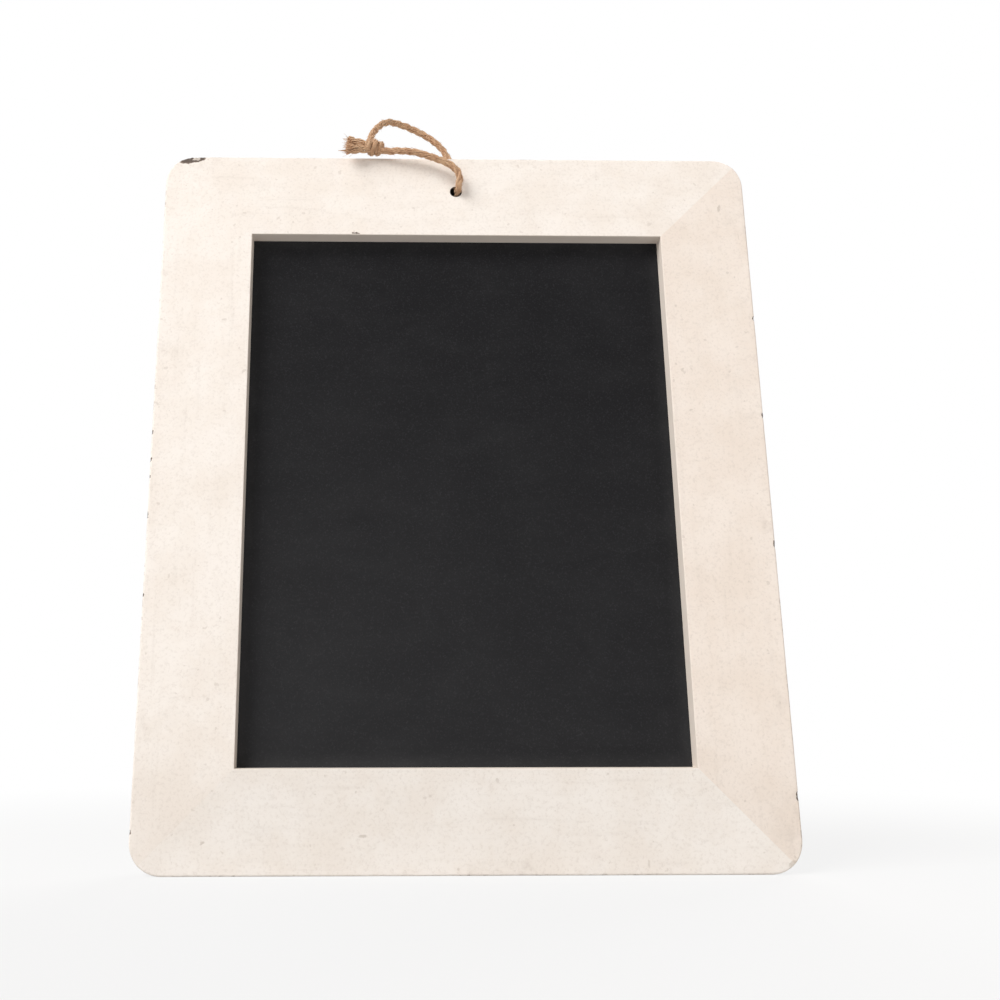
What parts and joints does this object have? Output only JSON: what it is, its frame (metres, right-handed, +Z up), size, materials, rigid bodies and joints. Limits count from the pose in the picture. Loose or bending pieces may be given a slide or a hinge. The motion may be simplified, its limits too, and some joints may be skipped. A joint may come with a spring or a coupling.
{
  "type": "slate writing board",
  "caption": "Upright slate writing board in a mitred, painted wooden frame with rounded corners, hung by a knotted loop of twine through its top rail.",
  "frame": {"origin": "middle of the frame's bottom edge, halfway through its thickness", "axes": "+Z up the board, +X to the right seen from the writing side, +Y to the back, so the slate faces -Y"},
  "size_m": [0.28, 0.0242, 0.3583],
  "materials": {
    "painted_wood": "worn matte cream paint",
    "slate": "fine matte",
    "hardboard": "smooth pressed fibre",
    "steel": "bright stamped",
    "twine": "twisted natural fibre"
  },
  "bodies": {
    "board": {"top_rail": "painted_wood", "bottom_rail": "painted_wood", "left_stile": "painted_wood", "right_stile": "painted_wood", "slate_panel": "slate", "backing_board": "hardboard", "corner_v_nails": "steel", "retaining_points": "steel"},
    "hanging_loop": {"twine_loop": "twine", "twine_knot": "twine", "twine_tail_upper": "twine", "twine_tail_lower": "twine"}
  },
  "joints": [
    {"name": "loop_swing", "type": "hinge", "parent": "board", "child": "hanging_loop", "pos_m": [0, 0, 0.311], "axis": [0, 1, 0], "range_deg": [0, 90]}
  ]
}
